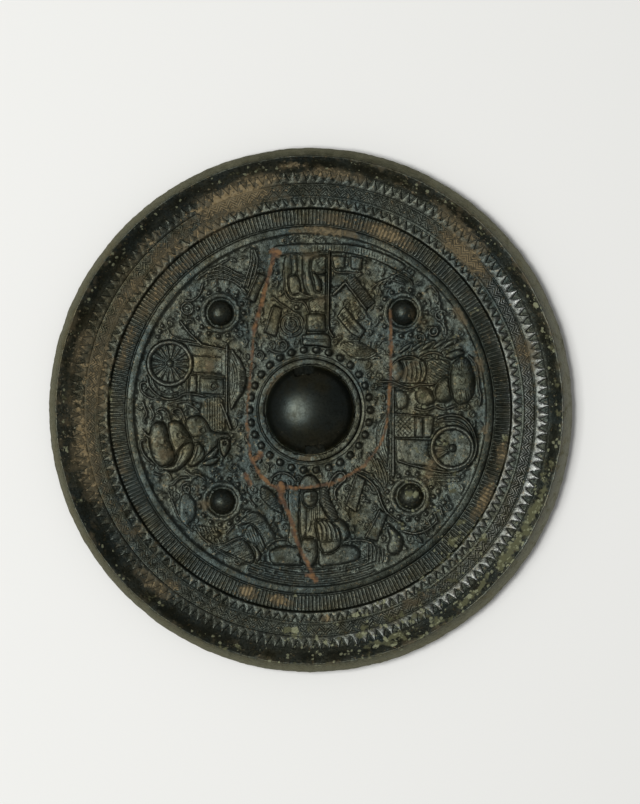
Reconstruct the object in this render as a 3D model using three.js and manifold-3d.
// Cast bronze mirror in the Eastern Han manner, lying on its polished face with the decorated back up.
// Millimetres, +Z up, origin on the ground under the middle. One casting, so one solid: a slightly domed
// disc with a raised rim, toothed bands, a pierced knob, four nipples and four scenes in low relief.
// Each scene is laid out upright in its own frame: u runs to the right and v up, from the mirror's middle,
// so the ground of a scene lies at v = -fieldRadius, and the heads point to the knob.

import * as THREE from 'three';
import { mergeVertices } from 'three/addons/utils/BufferGeometryUtils.js';
import Module from 'manifold-3d';

// --- driving dimensions ---
const mirrorRadius = 105;
const faceBend = 1378;          // radius of the polished face, which is slightly domed
const restRadius = 20;          // the small flat in the middle of the face that it lies on
const fieldThickness = 2.6;     // metal between the face and the ground of the relief
const faceRings = [50, 80];     // radii of the rings that bend the face between its flat and its edge
const fieldRadius = 70.6;
const rimSides = 60;            // sides of the plain rings of the rim
const innerSides = 45;          // sides of the plain rings inside it

const rim = {
  edgeFoot: 4.5, peakHeight: 11.7, peakOuter: 101.6, peakInner: 101, slopeFoot: 96.1, footHeight: 8.4,
};
const outerTeeth = { count: 163, tip: 95.8, root: 90.6, tipHeight: 8.4, rootHeight: 7.1, valleyDepth: 0.5 };
const innerTeeth = { count: 146, tip: 85.3, root: 81.2, tipHeight: 7, rootHeight: 6.7, valleyDepth: 0.45 };
const combBand = { outer: 80.4, inner: 74.5, height: 5.1, grooveRadius: 74.1, grooveHeight: 4.6 };
const plainRing = { outer: 73.6, inner: 70.9, height: 5.1 };

const knob = { radius: 17.7, top: 13, foot: 3.3, sides: 30 };
const knobRing = { inner: 18.3, outer: 19.7, rise: 1 };
const knobRidge = { inner: 20.9, middle: 21.7, outer: 22.4, rise: 0.55 };
const cordHoleLean = 8;         // degrees off the Y axis
const cordHole = { width: 8, height: 5.2, corner: 1.8, floor: 3.75, length: 46 };

const knobBeads = { count: 30, circle: 24.2, radius: 1.45, rise: 1.3, sides: 4 };
const nipple = { radius: 4.9, rise: 4.6, ringInner: 6.6, ringOuter: 7.8, ringRise: 0.7, sides: 10 };
const nippleBeads = { count: 15, circle: 9.3, radius: 0.95, rise: 0.8, sides: 4 };
const nipplePlaces = [[-35.9, 38.9], [37.6, 39], [-35.2, -36.7], [40.3, -34.6]];

const spokeCount = 16;

const buried = 1.2;             // relief starts this far below the ground, so that it fuses with it
const sunk = 0.3;               // a swelling's middle lies this far below the ground
const ribWidth = 0.7;
const groundLineGap = 1.9;      // between the arcs that a scene stands on

// --- heights of the face and of the ground of the relief ---
const faceHeight = (radius) => Math.max(0, radius ** 2 - restRadius ** 2) / (2 * faceBend);
const groundHeight = (radius) => fieldThickness + radius ** 2 / (2 * faceBend);

// --- the disc: rings of points round the axis, joined ring to ring ---
const turnRound = 2 * Math.PI;

// A ring of points; its radius and height are numbers, or functions of the point's number.
function ring(count, radius, height, shift = 0) {
  const value = (given, i) => (typeof given === 'function' ? given(i) : given);
  return Array.from({ length: count }, (_, i) => {
    const angle = turnRound * (i + shift) / count;
    const r = value(radius, i);
    return { angle, point: [r * Math.cos(angle), r * Math.sin(angle), value(height, i)] };
  });
}

// Triangles between two rings. It steps along whichever ring has its next point first.
function join(ringA, ringB) {
  const stepsOf = (loop) => (loop.length > 1 ? loop.length : 0);
  const at = (loop, k) => loop[k % loop.length];
  const angleAt = (loop, k) => at(loop, k).angle + turnRound * Math.floor(k / loop.length);
  const tie = 1e-6;
  const corners = [];
  let a = 0;
  let b = 0;
  while (a < stepsOf(ringA) || b < stepsOf(ringB)) {
    const nextA = a < stepsOf(ringA) ? angleAt(ringA, a + 1) : Infinity;
    const nextB = b < stepsOf(ringB) ? angleAt(ringB, b + 1) : Infinity;
    if (nextB <= nextA + tie) {
      corners.push(at(ringA, a), at(ringB, b + 1), at(ringB, b));
      b += 1;
    } else {
      corners.push(at(ringA, a), at(ringA, a + 1), at(ringB, b));
      a += 1;
    }
  }
  return corners.flatMap((corner) => corner.point);
}

// The tips of a toothed band: a tip, then a sunk valley, and so on round.
function toothTips(teeth) {
  const height = (i) => teeth.tipHeight - (i % 2 ? teeth.valleyDepth : 0);
  return ring(2 * teeth.count, teeth.tip, height);
}

const toothRoots = (teeth) => ring(teeth.count, teeth.root, teeth.rootHeight, 0.5);

function discRings() {
  const plain = (radius, height, count = innerSides) => ring(count, radius, height);
  const ground = (radius, rise = 0) => plain(radius, groundHeight(radius) + rise, knob.sides);
  const face = [
    plain(0, 0, 1),
    plain(restRadius, 0, knob.sides),
    ...faceRings.map((radius) => plain(radius, faceHeight(radius))),
    plain(mirrorRadius, faceHeight(mirrorRadius), rimSides),
  ];
  const rimAndBands = [
    plain(mirrorRadius, rim.edgeFoot, rimSides),
    plain(rim.peakOuter, rim.peakHeight, rimSides),
    plain(rim.peakInner, rim.peakHeight, rimSides),
    plain(rim.slopeFoot, rim.footHeight, rimSides),
    toothTips(outerTeeth),
    toothRoots(outerTeeth),
    toothTips(innerTeeth),
    toothRoots(innerTeeth),
    plain(combBand.outer, combBand.height),
    plain(combBand.inner, combBand.height),
    plain(combBand.grooveRadius, combBand.grooveHeight),
    plain(plainRing.outer, plainRing.height),
    plain(plainRing.inner, plainRing.height),
    plain(fieldRadius, groundHeight(fieldRadius)),
  ];
  const knobFoot = [
    ground(knobRidge.outer),
    ground(knobRidge.middle, knobRidge.rise),
    ground(knobRidge.inner),
    ground(knobRing.outer, knobRing.rise),
    ground(knobRing.inner, knobRing.rise),
  ];
  const dome = [0, 28, 58, 90].map((degrees) => {
    const angle = THREE.MathUtils.degToRad(degrees);
    const height = knob.foot + (knob.top - knob.foot) * Math.sin(angle);
    return plain(knob.radius * Math.cos(angle), height, degrees < 90 ? knob.sides : 1);
  });
  return [...face, ...rimAndBands, ...knobFoot, ...dome];
}

function discGeometry() {
  const rings = discRings();
  const positions = rings.slice(1).flatMap((next, i) => join(rings[i], next));
  return new THREE.BufferGeometry()
    .setAttribute('position', new THREE.Float32BufferAttribute(positions, 3));
}

// --- relief tools: closed shapes in a scene's upright frame, heights above the ground ---
const circle = (u, v, radius, sides) => oval(u, v, radius, radius, sides);

function oval(u, v, radiusU, radiusV, sides = 14, lean = 0) {
  const cos = Math.cos(THREE.MathUtils.degToRad(lean));
  const sin = Math.sin(THREE.MathUtils.degToRad(lean));
  return Array.from({ length: sides }, (_, i) => {
    const a = radiusU * Math.cos(turnRound * i / sides);
    const b = radiusV * Math.sin(turnRound * i / sides);
    return [u + a * cos - b * sin, v + a * sin + b * cos];
  });
}

// A flat-topped shape of the given outline, with any holes.
function slab(outline, rise, holes = []) {
  const shape = new THREE.Shape(outline.map(([u, v]) => new THREE.Vector2(u, v)));
  shape.holes = holes.map((hole) => new THREE.Path(hole.map(([u, v]) => new THREE.Vector2(u, v))));
  const geometry = new THREE.ExtrudeGeometry(shape, { depth: buried + rise, bevelEnabled: false });
  return geometry.translate(0, 0, -buried);
}

// A raised line of even width along a path.
function line(path, width, rise) {
  const sides = [1, -1].map((side) => path.map(([u, v], i) => {
    const [u0, v0] = path[Math.max(i - 1, 0)];
    const [u1, v1] = path[Math.min(i + 1, path.length - 1)];
    const along = new THREE.Vector2(u1 - u0, v1 - v0).setLength(side * width / 2);
    return [u + along.y, v - along.x];
  }));
  return slab([...sides[0], ...sides[1].reverse()], rise);
}

// A smooth swelling: the upper half of a flattened ball, its middle just under the ground.
function swelling(u, v, radiusU, radiusV, rise, sides = 8, lean = 0) {
  const geometry = new THREE.SphereGeometry(1, sides, 4);
  geometry.rotateX(Math.PI / 2).scale(radiusU, radiusV, rise);
  return geometry.rotateZ(THREE.MathUtils.degToRad(lean)).translate(u, v, -sunk);
}

const band = (u, v, radius, width, rise, sides) =>
  slab(circle(u, v, radius, sides), rise, [circle(u, v, radius - width, sides)]);

// Points on an arc round (u, v), from one angle to another in degrees.
function arc(u, v, radius, from, to, steps) {
  return Array.from({ length: steps + 1 }, (_, i) => {
    const angle = THREE.MathUtils.degToRad(from + (to - from) * i / steps);
    return [u + radius * Math.cos(angle), v + radius * Math.sin(angle)];
  });
}

// A long slab with raised cross ribs, as on the folded cloths and tablets.
function tablet(corners, rise, ribs, ribRise) {
  const [a, b, c, d] = corners.map(([u, v]) => new THREE.Vector2(u, v));
  const solids = [slab(corners, rise)];
  for (let i = 1; i <= ribs; i += 1) {
    const left = a.clone().lerp(d, i / (ribs + 1));
    const right = b.clone().lerp(c, i / (ribs + 1));
    solids.push(line([left.lerp(right, 0.12).toArray(), right.toArray()], ribWidth, rise + ribRise));
  }
  return solids;
}

// Feathers: lines that fan out round a point.
function feathers(u, v, inner, outer, from, to, count, rise) {
  return Array.from({ length: count }, (_, i) => {
    const angle = THREE.MathUtils.degToRad(from + (to - from) * i / (count - 1));
    const at = (radius) => [u + radius * Math.cos(angle), v + radius * Math.sin(angle)];
    return line([at(inner), at(outer)], ribWidth, rise);
  });
}

// --- figures ---
// A wheel and those of its spokes that are left unworn.
function wheel(u, v, radius, firstSpoke, lastSpoke) {
  const solids = [band(u, v, radius, 1.5, 1.5, 18), swelling(u, v, 1.7, 1.7, 1.5, 6)];
  for (let i = firstSpoke; i < lastSpoke; i += 1) {
    const angle = turnRound * (i + 0.5) / spokeCount;
    const at = (r) => [u + r * Math.cos(angle), v + r * Math.sin(angle)];
    solids.push(line([at(1.3), at(radius - 1.2)], 0.5, 0.6));
  }
  return solids;
}

// A carriage: wheel, box with a window, domed canopy and the curved guard before the wheel.
function carriage({ wheelAt, wheelRadius, spokesShown, box, window, canopy, guard }) {
  const corners = ([left, bottom, right, top]) =>
    [[left, bottom], [right, bottom], [right, top], [left, top]];
  const roofRadius = (canopy.halfWidth ** 2 + canopy.rise ** 2) / (2 * canopy.rise);
  const drop = roofRadius - canopy.rise;
  const eaves = THREE.MathUtils.radToDeg(Math.asin(drop / roofRadius));
  return [
    ...wheel(...wheelAt, wheelRadius, ...spokesShown),
    slab(corners(box), 1, [corners(window)]),
    slab(arc(canopy.middle, canopy.foot - drop, roofRadius, eaves, 180 - eaves, 6), 1.4),
    line(guard, 1.1, 1.1),
  ];
}

// A horse of a team, seen from the side: the swelling of its body with a whorl on the haunch.
const horseBody = ({ at, size, lean, rise, whorl }) => [
  swelling(...at, ...size, rise, 10, lean),
  band(...whorl, 1.6, 0.6, rise + 0.35, 6),
];

// A figure sitting on its heels in a wide robe, hands in its sleeves.
function seated({ middle, hem, waist, neck, hat, spread, knee, rise }) {
  const robe = [
    [middle - spread, hem], [middle + spread, hem], [middle + spread + 1.4, hem + 3.5],
    [middle + spread, hem + 7], [middle + knee, hem + 8], [middle + knee + 0.6, waist - 2],
    [middle + knee - 2.6, waist + 2.6], [middle + 4, waist + 5], [middle + 3.4, neck],
    [middle - 3.4, neck], [middle - 4.2, waist + 5], [middle - 5.4, waist - 4],
    [middle - spread, hem + 7], [middle - spread - 1.4, hem + 3.5],
  ];
  const pleats = [0, 1, 2].map((i) =>
    line([[middle + 1.5, waist + 2.5 - i], [middle + 7 - 1.4 * i, waist - 7 - i]], 0.9, rise + 0.5));
  return [
    slab(robe, rise),
    ...pleats,
    swelling(middle + knee - 2.5, waist - 2, 3.2, 4.2, rise + 0.9),
    swelling(middle, hem + 5, 3.2, 5, rise + 1),
    swelling(middle, (neck + hat) / 2, 3, 3.7, rise + 1.3),
    line([[middle, (neck + hat) / 2 + 1.4], [middle, (neck + hat) / 2 - 0.9]], ribWidth, rise + 1.7),
    slab([[middle - 3.8, hat - 1.4], [middle + 3.8, hat - 1.4], [middle + 2.6, hat + 1.6],
      [middle - 2.6, hat + 1.6]], rise + 1.5),
  ];
}

// The ground that a scene stands on: arcs a little inside the plain ring.
const groundLines = (halfAngle, count) => Array.from({ length: count }, (_, i) =>
  line(arc(0, 0, fieldRadius - groundLineGap * (i + 1), 270 - halfAngle, 270 + halfAngle, 4), ribWidth, 0.8));

// --- the four scenes ---
function lowerFigure() {
  return [
    ...seated({
      middle: 1.5, hem: -61.5, waist: -46, neck: -33, hat: -26.5, spread: 16.5, knee: 14, rise: 1.2,
    }),
    ...tablet([[18.8, -25.6], [22, -28], [18, -40.4], [14.4, -38]], 1, 0, 0),
    ...tablet([[28.2, -39.8], [31.4, -41.9], [27.3, -51.4], [22.2, -51.4]], 1, 0, 0),
    line([[8.6, -43], [10.4, -37], [9.8, -30]], 4, 1.3),
    band(11.4, -26.2, 2.9, 1, 1.6, 7),
    swelling(-15.6, -34.8, 5.4, 3.8, 1.5, 8, 45),
    line(arc(-11.4, -32, 6.6, 20, 160, 6), 1, 1.1),
    ...feathers(-19.5, -57, 3, 13, 140, 200, 5, 0.9),
    line(arc(-27, -54.5, 5.6, -60, 40, 4), 1.6, 1.5),
    ...tablet([[-26.6, -42.8], [-23.2, -40.4], [-13.4, -53.4], [-17, -55.6]], 0.9, 4, 0.4),
    swelling(35, -52, 3, 5.6, 1.8, 8),
    ...groundLines(21, 2),
  ];
}

function upperFigure() {
  return [
    ...seated({ middle: -3, hem: -62, waist: -49, neck: -39, hat: -28.5, spread: 12, knee: 12, rise: 1.2 }),
    line([[-8.2, -62.6], [-7.7, -44], [-8.4, -33.5]], 0.9, 2.1),
    slab([[-22.4, -65.4], [12, -65.8], [12, -63.2], [-22.4, -62.8]], 1.2),
    ...tablet([[-26.3, -42.4], [-22.9, -40.5], [-15.8, -52.1], [-19.2, -53.6]], 1, 5, 0.5),
    ...tablet([[-24, -33], [-20.2, -29.2], [-11.2, -37.3], [-13.8, -41.6]], 1, 4, 0.4),
    ...tablet([[21.6, -42.4], [25.4, -43.9], [21.4, -55.6], [17.6, -53.3]], 1, 0, 0),
    ...tablet([[14.4, -28.8], [18.8, -30.9], [13.9, -42.4], [10.1, -40.3]], 1, 0, 0),
    band(7.3, -34.5, 3.6, 1, 1, 8),
  ];
}

function leftTeam() {
  return [
    ...carriage({
      wheelAt: [-18.7, -56.3], wheelRadius: 9.3, spokesShown: [0, 16],
      box: [-26.4, -52, -5.6, -34.2], window: [-21.4, -46.8, -14.4, -35.6],
      canopy: { middle: -13, foot: -33, halfWidth: 10.5, rise: 7.4 },
      guard: arc(-17.9, -56.3, 12.8, -60, 30, 5),
    }),
    line([[-31.3, -48.8], [-26.7, -43.2], [-24, -33]], 1, 1.4),
    ...horseBody({ at: [13.5, -59.5], size: [9.4, 5.1], lean: 14, rise: 2.3, whorl: [13, -59.9] }),
    swelling(11, -52.4, 7, 4.6, 2, 8, 12),
    swelling(8, -45.4, 6.2, 4.6, 1.8, 8, 15),
    line([[8.5, -43], [10.6, -37.4], [13, -34.2]], 3.6, 1.6),
    swelling(14.3, -33.9, 4.4, 2, 2.3, 8, -4),
    line([[23.4, -59.6], [25, -56], [22.6, -51.6], [17, -47.4]], 2.6, 1.5),
    line([[22.4, -50.4], [22.8, -46.6], [19, -42.6], [13.6, -39]], 1.6, 1.3),
    line([[-2, -37.2], [7, -31.8]], 1.6, 1.4),
  ];
}

function rightTeam() {
  return [
    ...carriage({
      wheelAt: [-15.4, -57.2], wheelRadius: 9, spokesShown: [2, 7],
      box: [-24, -51, -2.4, -34.6], window: [-20.4, -46.6, -11.4, -35.8],
      canopy: { middle: -12, foot: -32.6, halfWidth: 9.6, rise: 4.6 },
      guard: arc(-12.6, -56, 11.6, -85, 95, 8),
    }),
    line([[-10.8, -44.2], [-2.8, -44.2]], 2.8, 1.7),
    ...horseBody({ at: [12.4, -60.3], size: [9.4, 4.7], lean: 0, rise: 2.3, whorl: [12.2, -60.7] }),
    swelling(8, -53.2, 5.2, 4.2, 2, 8, -10),
    swelling(5.6, -46, 4.4, 4.2, 1.8),
    ...tablet([[12.6, -46.8], [21.4, -47.4], [21.8, -55], [13, -55.4]], 1, 3, 0.4),
    swelling(15.8, -37, 4.9, 3.9, 1.6),
    line([[11.2, -33], [10.8, -44], [13, -54]], 1, 1.2),
    band(31.4, -50.3, 2, 0.9, 1, 6),
  ];
}

// --- beads and nipples, placed round the axis or round their own middle ---
const bead = (x, y, radius, rise, sides) => new THREE.ConeGeometry(radius, buried + rise, sides)
  .rotateX(Math.PI / 2).translate(x, y, (rise - buried) / 2);

function beadRing(x, y, { count, circle: around, radius, rise, sides }) {
  const spread = radius * (buried + rise) / rise;     // wider underground, so that the stated radius shows
  return Array.from({ length: count }, (_, i) => {
    const angle = turnRound * i / count;
    return bead(x + around * Math.cos(angle), y + around * Math.sin(angle), spread, rise, sides);
  });
}

function nippleAt([x, y]) {
  const { radius, rise, ringInner, ringOuter, ringRise, sides } = nipple;
  const profile = [[0, -buried], [ringOuter + 0.5, -buried], [ringOuter, ringRise], [ringInner, ringRise],
    [radius, 0.15], [radius * 0.8, rise * 0.62], [0, rise]];
  const dome = new THREE.LatheGeometry(profile.map(([r, h]) => new THREE.Vector2(r, h)), sides);
  return [dome.rotateX(Math.PI / 2).translate(x, y, 0), ...beadRing(x, y, nippleBeads)];
}

// --- joining: everything is laid on the curved ground and fused with the disc ---
const wasm = await Module();
wasm.setup();

function solidOf(geometry) {
  const bare = geometry.index ? geometry : geometry.clone();
  bare.deleteAttribute('normal');
  bare.deleteAttribute('uv');
  const merged = mergeVertices(bare, 1e-4);
  return new wasm.Manifold(new wasm.Mesh({
    numProp: 3,
    vertProperties: new Float32Array(merged.attributes.position.array),
    triVerts: new Uint32Array(merged.index.array),
  }));
}

function layOnGround(geometry) {
  const position = geometry.attributes.position;
  for (let i = 0; i < position.count; i += 1) {
    const lift = groundHeight(Math.hypot(position.getX(i), position.getY(i)));
    position.setZ(i, position.getZ(i) + lift);
  }
  return geometry;
}

const turned = (geometries, degrees) => geometries.map((geometry) =>
  geometry.rotateZ(THREE.MathUtils.degToRad(degrees)));

const relief = [
  ...turned(lowerFigure(), 0),
  ...turned(rightTeam(), 90),
  ...turned(upperFigure(), 180),
  ...turned(leftTeam(), 270),
  ...beadRing(0, 0, knobBeads),
  ...nipplePlaces.flatMap(nippleAt),
];

// The cord hole: a passage with rounded upper corners, right through the knob just above its ring.
function cordHoleGeometry() {
  const half = cordHole.width / 2;
  const { corner, height } = cordHole;
  const outline = [[-half, 0], [half, 0],
    ...arc(half - corner, height - corner, corner, 0, 90, 3),
    ...arc(corner - half, height - corner, corner, 90, 180, 3)];
  const shape = new THREE.Shape(outline.map(([x, z]) => new THREE.Vector2(x, z)));
  return new THREE.ExtrudeGeometry(shape, { depth: cordHole.length, bevelEnabled: false })
    .translate(0, 0, -cordHole.length / 2)
    .rotateX(Math.PI / 2)
    .translate(0, 0, cordHole.floor)
    .rotateZ(THREE.MathUtils.degToRad(cordHoleLean));
}

function mirrorGeometry() {
  const casting = relief.map((geometry) => solidOf(layOnGround(geometry)))
    .reduce((whole, solid) => whole.add(solid), solidOf(discGeometry()))
    .subtract(solidOf(cordHoleGeometry()));
  const { vertProperties, triVerts } = casting.getMesh();
  const geometry = new THREE.BufferGeometry();
  geometry.setAttribute('position', new THREE.BufferAttribute(vertProperties, 3));
  geometry.setIndex(new THREE.BufferAttribute(triVerts, 1));
  return geometry;
}

const bronze = new THREE.MeshStandardMaterial({
  color: 0x2e322f, roughness: 0.42, metalness: 0.85, flatShading: true,
});

const mirror = new THREE.Mesh(mirrorGeometry(), bronze);
mirror.name = 'mirror';

const model = new THREE.Group();
model.add(mirror);

export default model;
